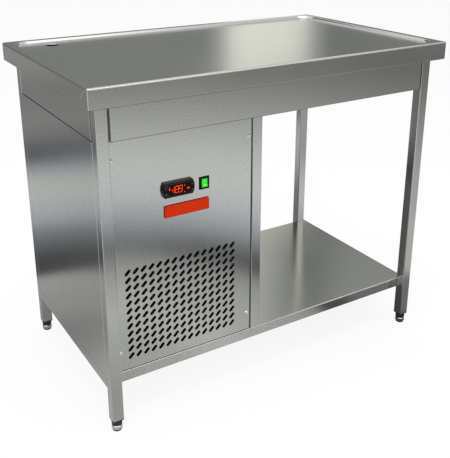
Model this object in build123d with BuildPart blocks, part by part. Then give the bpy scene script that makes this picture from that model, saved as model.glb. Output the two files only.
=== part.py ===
from build123d import *

import os
from math import atan2, cos, degrees, radians, sqrt

# A cold top table: a sunk stainless worktop on a square tube frame, with a refrigerating unit in a
# cladded compartment at the left and an open bay at the right.
# Millimetres. X runs along the front, Y from front to rear, Z up, and the feet stand on Z = 0.

os.makedirs("parts", exist_ok=True)

# Worktop
top_length = 1000.0
top_depth = 600.0
top_height = 850.0
top_sheet = 1.2
skirt_height = 46.0
skirt_lip = 12.0
skirt_bend = 2.5
top_corner_radius = 5.5
top_edge_radius = 4.5
rim_width = 20.0
recess_depth = 6.5
recess_slope = 4.0
recess_corner = 40.0
recess_bend = 2.0
seam_width = 0.8
seam_depth = 0.5
seam_lap = 38.0
seam_run = 27.0
seam_drop = 23.0
seam_start = 3.0

# Frame
leg_size = 28.0
leg_wall = 1.5
leg_corner_radius = 2.5
leg_inset_x = 24.0
leg_inset_y = 28.0

# Aprons round the cold body
body_drop = 127.0
apron_sheet = 1.2
inner_bend = 0.4
shadow_gap = 4.0
apron_fold = 2.0
apron_return = 12.0
apron_tab = 14.0
apron_foot = 20.0
apron_head = 15.0

# Levelling feet
pad_radius = 11.2
pad_height = 5.0
cup_radius = 13.2
cup_shoulder_radius = 12.6
cup_height = 9.5
cup_edge = 1.0
foot_gap = 1.0
stud_radius = 5.0
stud_length = 33.0
stud_clearance = 0.08
collar_foot_radius = 12.2
collar_radius = 13.0
collar_height = 14.0
collar_edge = 4.0
plug_flange = 2.5
plug_insert = 16.0
plug_clearance = 0.2

# Shelf
shelf_top = 141.0
shelf_sheet = 1.2
shelf_flange = 27.0
shelf_lip = 12.0
shelf_bend = 2.5
stiffener_web = 40.0
stiffener_height = 18.0
stiffener_flange = 15.0
stiffener_end_gap = 40.0

# Compartment cladding
compartment_width = 432.0
panel_sheet = 1.0
post_width = 27.0
post_step = 10.0
landing_width = 22.0
panel_seam = 1.0
panel_foot_gap = 2.0
panel_bend = 1.6
panel_corner = 1.0

# Vent slots in the service panel
slot_columns = 15
slot_rows = 12
slot_margin = 45.0
slot_length_share = 0.92
slot_width_share = 0.42
slot_angle = 45.0
slot_shift = -9.3
slot_centre_height = 147.1

# Vents in the rear panel
rear_vent_columns = 2
rear_vent_rows = 9
rear_vent_length = 110.0
rear_vent_height = 7.0
rear_vent_pitch_x = 140.0
rear_vent_pitch_z = 22.0

# Panel screws
screw_head_radius = 5.0
screw_head_height = 3.0
screw_head_taper = 32.0
screw_radius = 2.5
screw_length = 16.0
screw_clearance = 0.2
screw_cross_length = 4.6
screw_cross_width = 1.0
screw_cross_depth = 1.4
screw_edge = 9.0
screw_end = 50.0

# Controller
controller_shift = -16.6
controller_drop = 142.5
bezel_length = 82.0
bezel_height = 36.0
bezel_bulge = 5.0
bezel_depth = 9.0
bezel_edge = 2.0
window_length = 56.0
window_height = 26.0
window_depth = 1.6
window_shift = 1.0
window_fit = 0.15
window_recess = 0.3
case_length = 70.4
case_height = 28.4
case_depth = 55.0
cutout_clearance = 0.3
key_length = 4.6
key_height = 7.0
key_depth = 3.4
key_proud = 0.8
key_travel = 0.6
key_floor_gap = 0.1
key_clearance = 0.3
key_shift = 34.0
key_spread = 14.0

# Rocker switch
switch_shift = 53.3
switch_drop = 144.0
switch_length = 26.5
switch_height = 31.0
switch_proud = 2.5
switch_edge = 1.0
switch_body_length = 22.0
switch_body_height = 28.5
switch_body_depth = 18.0
switch_floor = 3.0
rocker_width = 13.6
rocker_radius = 10.4
rocker_clearance = 0.3
rocker_front = 4.5
rocker_dip = 1.2
rocker_shoulder = 3.0
rocker_back = 6.5
rocker_back_height = 12.0
rocker_tilt = 7.0
pin_radius = 1.2
pin_length = 1.5
pin_clearance = 0.05
pin_end_gap = 0.2

# Plate below the controls
plate_shift = 6.3
plate_drop = 196.0
plate_length = 118.0
plate_height = 30.0
plate_sheet = 2.0
plate_corner = 3.0

# Cold body
cover_sheet = 1.0
foam_clearance = 0.3
bore_clearance = 0.5
coil_radius = 7.0
coil_margin = 20.0
coil_runs = 4
coil_bend_share = 0.45
probe_radius = 3.0
probe_length = 40.0
probe_shift = 60.0

# Drain
drain_radius = 18.0
drain_bend = 0.9
drain_inset_x = 112.0
drain_inset_y = 70.0
drain_wall = 2.0
drain_flange = 25.0
drain_cup_depth = 36.0
drain_socket_depth = 16.0
drain_offset = 10.0
drain_pipe_radius = 8.0
drain_pipe_wall = 1.5
drain_tail_radius = 9.0
drain_tail_length = 20.0
drain_fit = 0.05

# Condensing unit
unit_length = 300.0
unit_height = 24.0
unit_sheet = 2.0
unit_front_gap = 32.0
unit_rear_gap = 59.0
condenser_length = 260.0
condenser_depth = 45.0
condenser_height = 230.0
fin_pitch = 10.0
fin_gap = 6.0
fin_depth = 15.0
fin_count = 25
end_plate = 2.0
end_plate_edge = 5.0
header_length = 16.0
header_height = 20.0
header_depth = 20.0
header_lift = 125.0
header_back = 3.0
outlet_lift = 10.0
outlet_front = 10.0
outlet_block = 14.0
riser_rise = 12.0
shroud_depth = 20.0
shroud_sheet = 1.5
fan_radius = 92.0
fan_tip_gap = 5.0
fan_hub_radius = 20.0
fan_hub_length = 22.0
fan_blades = 5
fan_blade_width = 50.0
fan_blade_sheet = 2.5
fan_pitch = 24.0
fan_setback = 5.0
fan_motor_gap = 7.0
motor_radius = 42.0
motor_length = 48.0
motor_edge = 6.0
shaft_radius = 3.0
shaft_clearance = 0.05
shaft_seat = 14.0
shaft_fit = 0.02
shaft_depth = 30.0
shaft_end_gap = 0.3
bracket_sheet = 2.0
bracket_width = 90.0
bracket_foot = 45.0
bracket_lift = 25.0

# Compressor
compressor_radius = 85.0
compressor_height = 185.0
compressor_dome = 45.0
compressor_share = 0.718
compressor_shift = -20.0
weld_flange = 4.0
weld_flange_height = 6.0
mount_length = 200.0
mount_depth = 160.0
mount_sheet = 4.0
mount_corner = 12.0
grommet_radius = 12.0
grommet_height = 16.0
grommet_spread_x = 168.0
grommet_spread_y = 128.0
stub_length = 12.0
terminal_length = 30.0
terminal_depth = 60.0
terminal_height = 50.0
terminal_corner = 5.0
terminal_lift = 70.0
terminal_boss = 8.0

# Refrigerant lines
discharge_radius = 4.0
liquid_radius = 4.0
suction_radius = 5.0
line_bend = 24.0
suction_run = 4.0
drier_radius = 13.0
drier_height = 95.0
drier_edge = 6.0
suction_lift = 100.0

# Cable gland in the rear panel
gland_radius = 8.0
gland_hex_radius = 12.0
gland_hex_height = 6.0
gland_dome_radius = 9.5
gland_dome_height = 11.0
gland_dome_taper = 12.0
gland_tail = 12.0
gland_bore = 4.5
gland_fit = 0.3
gland_shift = -120.0
gland_lift = 300.0

# Places that several pieces share
frame_x = top_length / 2 - leg_inset_x
frame_y = top_depth / 2 - leg_inset_y
bay_x = frame_x - leg_size
bay_y = frame_y - leg_size
floor_top = top_height - recess_depth
floor_under = floor_top - top_sheet
skirt_bottom = top_height - skirt_height
apron_bottom = top_height - body_drop
apron_height = floor_under - apron_bottom
cup_bottom = pad_height
cup_top = cup_bottom + cup_height
collar_bottom = cup_top + foot_gap
plug_bottom = collar_bottom + collar_height
leg_bottom = plug_bottom + plug_flange
shelf_under = shelf_top - shelf_sheet
shelf_bottom = shelf_top - shelf_flange
compartment_left = -frame_x
compartment_right = compartment_left + compartment_width
compartment_x = (compartment_left + compartment_right) / 2
cladding_top = apron_bottom - panel_seam
panel_bottom = shelf_top + panel_foot_gap
panel_width = compartment_width - 2 * (post_width + shadow_gap)
panel_height = cladding_top - panel_bottom
slot_pitch = (panel_width - 2 * slot_margin) / (slot_columns - 1)
panel_z = (cladding_top + panel_bottom) / 2
cover_bottom = apron_bottom + apron_sheet
foam_bottom = cover_bottom + cover_sheet
foam_top = floor_under - coil_radius - foam_clearance
drain_x = -top_length / 2 + drain_inset_x
drain_y = top_depth / 2 - drain_inset_y
outlet_y = drain_y - drain_offset
drain_cup_bottom = floor_under - drain_cup_depth
drain_socket_bottom = drain_cup_bottom - drain_socket_depth
drain_tail_bottom = shelf_bottom - drain_tail_length

corners = {
    "front_left": (-1, -1),
    "front_right": (1, -1),
    "rear_left": (-1, 1),
    "rear_right": (1, 1),
}
front_plane = Plane((compartment_x, -bay_y, panel_z), x_dir=(1, 0, 0), z_dir=(0, -1, 0))
rear_plane = Plane((compartment_x, bay_y, panel_z), x_dir=(-1, 0, 0), z_dir=(0, 1, 0))
screw_points = [
    (side * (panel_width / 2 - screw_edge), end * (panel_height / 2 - screw_end))
    for side in (-1, 1)
    for end in (-1, 1)
]


def save(piece, name):
    """Labels a finished piece and writes it."""
    piece.part.label = name
    export_step(piece.part, f"parts/{name}.step")


def upright(x, y):
    """The plane of a turned profile about the vertical line through a point."""
    return Plane((x, y, 0), x_dir=(1, 0, 0), z_dir=(0, -1, 0))


def spot(plane, x, y):
    """A plane moved across itself to a place on it."""
    return Plane(plane.from_local_coords(Vector(x, y, 0)), x_dir=plane.x_dir, z_dir=plane.z_dir)


def turned(x, y, outline):
    """Turns an outline of radius and height about the vertical line through a point."""
    with BuildSketch(upright(x, y)) as profile:
        with BuildLine():
            Polyline(*outline, close=True)
        make_face()
    revolve(profile.sketch, axis=Axis((x, y, 0), (0, 0, 1)))


def bore(x, y, radius, bottom, top):
    """Cuts a round upright hole."""
    with BuildSketch(Plane.XY.offset(bottom)) as mouth:
        with Locations((x, y)):
            Circle(radius)
    extrude(mouth.sketch, amount=top - bottom, mode=Mode.SUBTRACT)


def bent_sheet(plane, points, bends, sheet, length):
    """A sheet folded along the points, its thickness to their left, drawn out by a length."""
    with BuildSketch(plane) as profile:
        with BuildLine():
            FilletPolyline(*points, radius=bends)
            offset(amount=sheet, side=Side.LEFT, kind=Kind.INTERSECTION)
        make_face()
    extrude(profile.sketch, amount=length)


def tray(length, depth, bottom, height, corner, top_fold, foot_fold):
    """A box with rounded corners and with folds along its top and its foot."""
    with BuildSketch(Plane.XY.offset(bottom)) as outline:
        RectangleRounded(length, depth, corner)
    extrude(outline.sketch, amount=height)
    fillet(faces().sort_by(Axis.Z)[-1].edges(), top_fold)
    fillet(faces().sort_by(Axis.Z)[0].edges(), foot_fold)


def pan(plane, length, height, depth, sheet):
    """A panel with all four edges bent back."""
    with BuildSketch(plane) as outside:
        RectangleRounded(length, height, panel_corner)
    extrude(outside.sketch, amount=-depth)
    front = faces().sort_by(Axis(plane.origin, plane.z_dir))[-1]
    fillet(front.edges(), panel_bend)
    with BuildSketch(plane.offset(-sheet)) as inside:
        Rectangle(length - 2 * sheet, height - 2 * sheet)
    extrude(inside.sketch, amount=-depth, mode=Mode.SUBTRACT)


# Worktop: one folded tray with a deep skirt, a raised rim and a sunk floor
slope_angle = degrees(atan2(recess_slope, recess_depth))
slope_sheet = top_sheet / cos(radians(slope_angle))
opening_length = top_length - 2 * rim_width
opening_depth = top_depth - 2 * rim_width

with BuildPart() as hollow:
    tray(
        top_length - 2 * top_sheet,
        top_depth - 2 * top_sheet,
        skirt_bottom + top_sheet,
        skirt_height - 2 * top_sheet,
        top_corner_radius - top_sheet,
        top_edge_radius - top_sheet,
        skirt_bend - top_sheet,
    )
with BuildPart() as worktop:
    tray(
        top_length,
        top_depth,
        skirt_bottom,
        skirt_height,
        top_corner_radius,
        top_edge_radius,
        skirt_bend,
    )
    add(hollow.part, mode=Mode.SUBTRACT)
    with BuildSketch(Plane.XY.offset(skirt_bottom)):
        Rectangle(top_length - 2 * skirt_lip, top_depth - 2 * skirt_lip)
    extrude(amount=top_sheet, mode=Mode.SUBTRACT)
    with BuildSketch(Plane.XY.offset(top_height)):
        RectangleRounded(
            opening_length + 2 * slope_sheet, opening_depth + 2 * slope_sheet, recess_corner + slope_sheet
        )
    extrude(amount=-(recess_depth + top_sheet), taper=slope_angle)
    with BuildSketch(Plane.XY.offset(top_height)):
        RectangleRounded(opening_length, opening_depth, recess_corner)
    extrude(amount=-recess_depth, taper=slope_angle, mode=Mode.SUBTRACT)
    rim_edges = worktop.faces().filter_by(Plane.XY).sort_by(Axis.Z)[-1].inner_wires()[0].edges()
    near_floor = (floor_top - top_sheet / 2, floor_top + top_sheet / 2)
    floor_face = worktop.faces().filter_by(Plane.XY).filter_by_position(Axis.Z, *near_floor)[0]
    floor_edges = floor_face.outer_wire().edges()
    fillet(rim_edges + floor_edges, recess_bend)
    bore(drain_x, drain_y, drain_radius, floor_under, floor_top)
    floor_face = worktop.faces().filter_by(Plane.XY).filter_by_position(Axis.Z, *near_floor)[0]
    fillet(floor_face.inner_wires()[0].edges(), drain_bend)
    for side in (-1, 1):
        seam_plane = Plane((side * top_length / 2, 0, top_height), x_dir=(0, 1, 0), z_dir=(1, 0, 0))
        with BuildSketch(seam_plane.offset(-seam_depth if side > 0 else 0)):
            for end in (-1, 1):
                seam_y = end * (top_depth / 2 - seam_lap)
                with BuildLine() as seam:
                    Polyline(
                        (seam_y + end * seam_run, -seam_start),
                        (seam_y, -seam_start - seam_drop),
                        (seam_y, -skirt_height),
                    )
                trace(seam.line, seam_width)
        extrude(amount=seam_depth, mode=Mode.SUBTRACT)
save(worktop, "worktop")

# Aprons: sheets between the legs, stepped back at each end to leave a shadow gap
aprons = {
    "front": (Plane((0, -frame_y, apron_bottom), x_dir=(1, 0, 0)), bay_x),
    "rear": (Plane((0, frame_y, apron_bottom), x_dir=(-1, 0, 0)), bay_x),
    "left": (Plane((-frame_x, 0, apron_bottom), x_dir=(0, -1, 0)), bay_y),
    "right": (Plane((frame_x, 0, apron_bottom), x_dir=(0, 1, 0)), bay_y),
}
apron_bend = apron_sheet + inner_bend
for side, (plane, reach) in aprons.items():
    face_end = reach - shadow_gap
    tab_end = apron_return + apron_tab
    half = [(face_end, 0), (face_end, apron_return), (reach, apron_return), (reach, tab_end)]
    outline = [(-x, y) for x, y in reversed(half)] + half
    with BuildPart() as apron:
        bent_sheet(plane, outline, [0, 0, apron_bend, apron_bend, 0, 0], apron_sheet, apron_height)
        for lift, width in ((0, apron_foot), (apron_height - apron_sheet, apron_head)):
            with BuildSketch(plane.offset(lift)):
                with Locations((0, apron_sheet)):
                    Rectangle(
                        2 * (face_end - apron_bend),
                        width - apron_sheet,
                        align=(Align.CENTER, Align.MIN),
                    )
            extrude(amount=apron_sheet)
        with BuildSketch(Plane(plane.origin, x_dir=plane.y_dir, z_dir=plane.x_dir)):
            Rectangle(apron_fold, apron_fold, align=(Align.MIN, Align.MIN))
            with Locations((apron_fold, apron_fold)):
                Circle(apron_fold, mode=Mode.SUBTRACT)
        extrude(amount=face_end - apron_bend, both=True, mode=Mode.SUBTRACT)
    save(apron, f"{side}_apron")

# Legs, their end plugs and the levelling feet
leg_bore = leg_size - 2 * leg_wall
for corner, (side, end) in corners.items():
    leg_x = side * (frame_x - leg_size / 2)
    leg_y = end * (frame_y - leg_size / 2)
    with BuildPart() as leg:
        with BuildSketch(Plane.XY.offset(leg_bottom)):
            with Locations((leg_x, leg_y)):
                RectangleRounded(leg_size, leg_size, leg_corner_radius)
                Rectangle(leg_bore, leg_bore, mode=Mode.SUBTRACT)
        extrude(amount=floor_under - leg_bottom)
    save(leg, f"leg_{corner}")

    with BuildPart() as plug:
        turned(
            leg_x,
            leg_y,
            [
                (0, collar_bottom),
                (collar_foot_radius, collar_bottom),
                (collar_radius, collar_bottom + collar_edge),
                (collar_radius, plug_bottom - collar_edge),
                (collar_foot_radius, plug_bottom),
                (0, plug_bottom),
            ],
        )
        with BuildSketch(Plane.XY.offset(plug_bottom)):
            with Locations((leg_x, leg_y)):
                RectangleRounded(leg_size, leg_size, leg_corner_radius)
        extrude(amount=plug_flange)
        with BuildSketch(Plane.XY.offset(leg_bottom)):
            with Locations((leg_x, leg_y)):
                Rectangle(leg_bore - 2 * plug_clearance, leg_bore - 2 * plug_clearance)
        extrude(amount=plug_insert)
        bore(leg_x, leg_y, stud_radius + stud_clearance, collar_bottom, leg_bottom + plug_insert)
    save(plug, f"leg_plug_{corner}")

    with BuildPart() as foot:
        turned(
            leg_x,
            leg_y,
            [
                (0, cup_bottom),
                (cup_shoulder_radius, cup_bottom),
                (cup_radius, cup_bottom + cup_edge),
                (cup_shoulder_radius, cup_top - cup_edge),
                (cup_shoulder_radius - cup_edge, cup_top),
                (stud_radius, cup_top),
                (stud_radius, cup_top + stud_length),
                (0, cup_top + stud_length),
            ],
        )
    save(foot, f"foot_{corner}")

    with BuildPart() as foot_pad:
        with BuildSketch():
            with Locations((leg_x, leg_y)):
                Circle(pad_radius)
        extrude(amount=pad_height)
    save(foot_pad, f"foot_pad_{corner}")

# Shelf between the front and rear legs, and the hat channel under it
with BuildPart() as shelf:
    with BuildSketch(Plane.XY.offset(shelf_bottom)):
        Rectangle(2 * frame_x, 2 * bay_y)
    extrude(amount=shelf_flange)
    fillet(shelf.faces().sort_by(Axis.Z)[-1].edges(), shelf_bend)
    with BuildSketch(Plane.XY.offset(shelf_bottom)):
        Rectangle(2 * (frame_x - shelf_sheet), 2 * (bay_y - shelf_sheet))
    extrude(amount=shelf_flange - shelf_sheet, mode=Mode.SUBTRACT)
    with BuildSketch(Plane.XY.offset(shelf_bottom)):
        Rectangle(2 * (frame_x - shelf_sheet), 2 * (bay_y - shelf_sheet))
        Rectangle(2 * (frame_x - shelf_lip), 2 * (bay_y - shelf_lip), mode=Mode.SUBTRACT)
    extrude(amount=shelf_sheet)
    bore(drain_x, outlet_y, drain_pipe_radius + bore_clearance, shelf_under, shelf_top)
save(shelf, "shelf")

stiffener_length = 2 * (frame_x - stiffener_end_gap)
stiffener_plane = Plane((-stiffener_length / 2, 0, shelf_under), x_dir=(0, 1, 0), z_dir=(1, 0, 0))
stiffener_half = [
    (stiffener_web / 2, -stiffener_height),
    (stiffener_web / 2, 0),
    (stiffener_web / 2 + stiffener_flange, 0),
]
with BuildPart() as stiffener:
    bent_sheet(
        stiffener_plane,
        stiffener_half[::-1] + [(-y, z) for y, z in stiffener_half],
        [0] * 4,
        shelf_sheet,
        stiffener_length,
    )
save(stiffener, "shelf_stiffener")

# Side panels of the compartment, whose bent edges are the posts and the landings of the panels
side_panels = {
    "left_side_panel": Plane((compartment_left, 0, shelf_top), x_dir=(1, 0, 0)),
    "inner_side_panel": Plane((compartment_right, 0, shelf_top), x_dir=(-1, 0, 0)),
}
side_bend = panel_sheet + inner_bend
landing_y = bay_y - post_step
side_half = [
    (0, bay_y),
    (post_width, bay_y),
    (post_width, landing_y),
    (post_width + landing_width, landing_y),
]
for name, plane in side_panels.items():
    with BuildPart() as side_panel:
        bent_sheet(
            plane,
            side_half[::-1] + [(x, -y) for x, y in side_half],
            [0, side_bend, side_bend, side_bend, side_bend, 0],
            panel_sheet,
            cladding_top - shelf_top,
        )
        for panel_plane in (front_plane, rear_plane):
            with BuildSketch(panel_plane.offset(-post_step)):
                with Locations(*screw_points):
                    Circle(screw_radius + screw_clearance)
            extrude(amount=-panel_sheet, mode=Mode.SUBTRACT)
    save(side_panel, name)

# Service panel with its grid of slanted vent slots
controller_z = cladding_top - controller_drop - panel_z
switch_z = cladding_top - switch_drop - panel_z
slot_z = shelf_top + slot_centre_height - panel_z
with BuildPart() as service_panel:
    pan(front_plane, panel_width, panel_height, post_step, panel_sheet)
    with BuildSketch(front_plane):
        with Locations((slot_shift, slot_z)):
            with GridLocations(slot_pitch, slot_pitch, slot_columns, slot_rows):
                SlotOverall(
                    slot_length_share * slot_pitch, slot_width_share * slot_pitch, rotation=slot_angle
                )
        with Locations(*screw_points):
            Circle(screw_radius + screw_clearance)
        with Locations((controller_shift, controller_z)):
            Rectangle(case_length + 2 * cutout_clearance, case_height + 2 * cutout_clearance)
        with Locations((switch_shift, switch_z)):
            Rectangle(
                switch_body_length + 2 * cutout_clearance,
                switch_body_height + 2 * cutout_clearance,
            )
    extrude(amount=-panel_sheet, mode=Mode.SUBTRACT)
save(service_panel, "service_panel")

# Rear panel with long vents and the hole of the cable gland
gland_z = shelf_top + gland_lift - panel_z
rear_vent_z = shelf_top + slot_centre_height - panel_z
with BuildPart() as rear_panel:
    pan(rear_plane, panel_width, panel_height, post_step, panel_sheet)
    with BuildSketch(rear_plane):
        with Locations((0, rear_vent_z)):
            with GridLocations(rear_vent_pitch_x, rear_vent_pitch_z, rear_vent_columns, rear_vent_rows):
                Rectangle(rear_vent_length, rear_vent_height)
        with Locations(*screw_points):
            Circle(screw_radius + screw_clearance)
        with Locations((gland_shift, gland_z)):
            Circle(gland_radius + gland_fit)
    extrude(amount=-panel_sheet, mode=Mode.SUBTRACT)
save(rear_panel, "rear_panel")

# Screws of both panels
with BuildPart() as panel_screws:
    for plane in (front_plane, rear_plane):
        with BuildSketch(plane):
            with Locations(*screw_points):
                Circle(screw_head_radius)
        extrude(amount=screw_head_height, taper=screw_head_taper)
        with BuildSketch(plane.offset(screw_head_height)):
            with Locations(*screw_points):
                Rectangle(screw_cross_length, screw_cross_width)
                Rectangle(screw_cross_width, screw_cross_length)
        extrude(amount=-screw_cross_depth, mode=Mode.SUBTRACT)
        with BuildSketch(plane):
            with Locations(*screw_points):
                Circle(screw_radius)
        extrude(amount=-screw_length)
save(panel_screws, "panel_screws")

# Cable gland, its hexagon outside and its nut inside the rear panel
gland_plane = spot(rear_plane, gland_shift, gland_z)
with BuildPart() as cable_gland:
    with BuildSketch(gland_plane, gland_plane.offset(-panel_sheet - gland_hex_height)):
        RegularPolygon(gland_hex_radius, 6)
    extrude(amount=gland_hex_height)
    with BuildSketch(gland_plane.offset(gland_hex_height)):
        Circle(gland_dome_radius)
    extrude(amount=gland_dome_height, taper=gland_dome_taper)
    with BuildSketch(gland_plane):
        Circle(gland_radius)
    extrude(amount=-gland_tail)
    with BuildSketch(gland_plane.offset(-gland_tail)):
        Circle(gland_bore)
    extrude(amount=gland_tail + gland_hex_height + gland_dome_height, mode=Mode.SUBTRACT)
save(cable_gland, "cable_gland")

# Controller: a barrel-shaped bezel with a window and four keys, and its case behind the panel
bezel_plane = spot(front_plane, controller_shift, controller_z)
bezel_end = bezel_length / 2
bezel_flat = bezel_end - bezel_bulge
bezel_rise = bezel_height / 2
key_points = {
    "key_up": (key_shift, key_spread / 2),
    "key_down": (key_shift, -key_spread / 2),
    "key_set": (-key_shift, key_spread / 2),
    "key_standby": (-key_shift, -key_spread / 2),
}
key_well = key_depth - key_proud + key_travel + key_floor_gap
with BuildPart() as bezel:
    with BuildSketch(bezel_plane):
        with BuildLine():
            Line((-bezel_flat, bezel_rise), (bezel_flat, bezel_rise))
            ThreePointArc((bezel_flat, bezel_rise), (bezel_end, 0), (bezel_flat, -bezel_rise))
            Line((bezel_flat, -bezel_rise), (-bezel_flat, -bezel_rise))
            ThreePointArc((-bezel_flat, -bezel_rise), (-bezel_end, 0), (-bezel_flat, bezel_rise))
        make_face()
    extrude(amount=bezel_depth)
    fillet(bezel.faces().sort_by(Axis.Y)[0].edges(), bezel_edge)
    with BuildSketch(bezel_plane.offset(bezel_depth)):
        with Locations((window_shift, 0)):
            Rectangle(window_length, window_height)
    extrude(amount=-window_depth, mode=Mode.SUBTRACT)
    with BuildSketch(bezel_plane.offset(bezel_depth)):
        with Locations(*key_points.values()):
            Rectangle(key_length + 2 * key_clearance, key_height + 2 * key_clearance)
    extrude(amount=-key_well, mode=Mode.SUBTRACT)
save(bezel, "controller_bezel")

with BuildPart() as window:
    with BuildSketch(bezel_plane.offset(bezel_depth - window_depth)):
        with Locations((window_shift, 0)):
            Rectangle(window_length - 2 * window_fit, window_height - 2 * window_fit)
    extrude(amount=window_depth - window_recess)
save(window, "display_window")

with BuildPart() as case:
    with BuildSketch(bezel_plane):
        Rectangle(case_length, case_height)
    extrude(amount=-case_depth)
save(case, "controller_case")

for name, point in key_points.items():
    with BuildPart() as key:
        with BuildSketch(bezel_plane.offset(bezel_depth + key_proud)):
            with Locations(point):
                Rectangle(key_length, key_height)
        extrude(amount=-key_depth)
    save(key, name)

# Rocker switch: a frame with a well, and a rocker on two pins, resting with its lower end out
switch_plane = spot(front_plane, switch_shift, switch_z)
pivot_plane = Plane(switch_plane.origin, x_dir=(0, 1, 0), z_dir=(1, 0, 0))
with BuildPart() as switch_frame:
    with BuildSketch(switch_plane):
        Rectangle(switch_length, switch_height)
    extrude(amount=switch_proud)
    chamfer(switch_frame.faces().sort_by(Axis.Y)[0].edges(), switch_edge)
    with BuildSketch(switch_plane):
        Rectangle(switch_body_length, switch_body_height)
    extrude(amount=-switch_body_depth)
    with BuildSketch(switch_plane.offset(switch_proud)):
        Rectangle(rocker_width + 2 * rocker_clearance, 2 * (rocker_radius + rocker_clearance))
    extrude(amount=switch_floor - switch_proud - switch_body_depth, mode=Mode.SUBTRACT)
    with BuildSketch(pivot_plane):
        Circle(pin_radius + pin_clearance)
    extrude(amount=rocker_width / 2 + pin_length + pin_end_gap, both=True, mode=Mode.SUBTRACT)
save(switch_frame, "switch_frame")

front_rise = sqrt(rocker_radius**2 - rocker_front**2)
shoulder_rise = sqrt(rocker_radius**2 - rocker_shoulder**2)
rocker_plane = pivot_plane.rotated((-rocker_tilt, 0, 0))
with BuildPart() as rocker:
    with BuildSketch(rocker_plane):
        with BuildLine():
            Polyline(
                (-rocker_front, front_rise),
                (rocker_dip - rocker_front, 0),
                (-rocker_front, -front_rise),
            )
            ThreePointArc(
                (-rocker_front, -front_rise), (0, -rocker_radius), (rocker_shoulder, -shoulder_rise)
            )
            Polyline(
                (rocker_shoulder, -shoulder_rise),
                (rocker_back, -rocker_back_height / 2),
                (rocker_back, rocker_back_height / 2),
                (rocker_shoulder, shoulder_rise),
            )
            ThreePointArc(
                (rocker_shoulder, shoulder_rise), (0, rocker_radius), (-rocker_front, front_rise)
            )
        make_face()
    extrude(amount=rocker_width / 2, both=True)
    with BuildSketch(rocker_plane):
        Circle(pin_radius)
    extrude(amount=rocker_width / 2 + pin_length, both=True)
save(rocker, "switch_rocker")

# Bare plate on the service panel
with BuildPart() as front_plate:
    with BuildSketch(spot(front_plane, plate_shift, cladding_top - plate_drop - panel_z)):
        RectangleRounded(plate_length, plate_height, plate_corner)
    extrude(amount=plate_sheet)
save(front_plate, "front_plate")

# Condensing unit on the shelf: its base, and the places that its pieces share
unit_x = compartment_x
base_top = shelf_top + unit_height
base_front = -bay_y + unit_front_gap
unit_depth = 2 * bay_y - unit_front_gap - unit_rear_gap
condenser_back = base_front + condenser_depth
condenser_top = base_top + condenser_height
header_x = unit_x + condenser_length / 2 + end_plate + header_length / 2
discharge_z = base_top + header_lift
liquid_y = base_front + outlet_front
riser_top = condenser_top + riser_rise
drier_top = riser_top + drier_height
compressor_x = unit_x + compressor_shift
compressor_y = base_front + compressor_share * unit_depth
mount_bottom = base_top + grommet_height
shell_bottom = mount_bottom + mount_sheet
suction_z = shell_bottom + suction_lift
stub_reach = compressor_radius + stub_length
suction_y = compressor_y + stub_reach + suction_run + line_bend

base_plane = Plane((unit_x, base_front, shelf_top), x_dir=(1, 0, 0), z_dir=(0, -1, 0))
base_half = [(unit_length / 2, 0), (unit_length / 2, unit_height)]
with BuildPart() as unit_base:
    bent_sheet(
        base_plane,
        base_half + [(-x, z) for x, z in reversed(base_half)],
        unit_sheet + inner_bend,
        unit_sheet,
        -unit_depth,
    )
save(unit_base, "unit_base")

# Condenser: a finned core between end plates, with its inlet block and its outlet riser
with BuildPart() as condenser:
    with BuildSketch(Plane.XY.offset(base_top)):
        with Locations((unit_x, base_front)):
            Rectangle(condenser_length, condenser_depth, align=(Align.CENTER, Align.MIN))
        with Locations((unit_x, base_front + fin_depth / 2)):
            with GridLocations(fin_pitch, fin_pitch, fin_count, 1):
                Rectangle(fin_gap, fin_depth, mode=Mode.SUBTRACT)
    extrude(amount=condenser_height)
    with BuildSketch(Plane.XY.offset(base_top)):
        for side in (-1, 1):
            with Locations((unit_x + side * (condenser_length + end_plate) / 2, base_front)):
                Rectangle(end_plate, condenser_depth, align=(Align.CENTER, Align.MIN))
    extrude(amount=condenser_height + end_plate_edge)
    with BuildSketch(Plane.XY.offset(discharge_z - header_height / 2)):
        with Locations((header_x, condenser_back - header_back)):
            Rectangle(header_length, header_depth, align=(Align.CENTER, Align.MAX))
    extrude(amount=header_height)
    with BuildSketch(Plane((header_x, condenser_back - header_back, discharge_z), z_dir=(0, 1, 0))):
        Circle(discharge_radius)
    extrude(amount=stub_length)
    with BuildSketch(Plane.XY.offset(base_top + outlet_lift)):
        with Locations((header_x, liquid_y)):
            Rectangle(header_length, outlet_block)
    extrude(amount=outlet_block)
    with BuildSketch(Plane.XY.offset(base_top + outlet_lift)):
        with Locations((header_x, liquid_y)):
            Circle(liquid_radius)
    extrude(amount=riser_top - base_top - outlet_lift)
save(condenser, "condenser")

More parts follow.
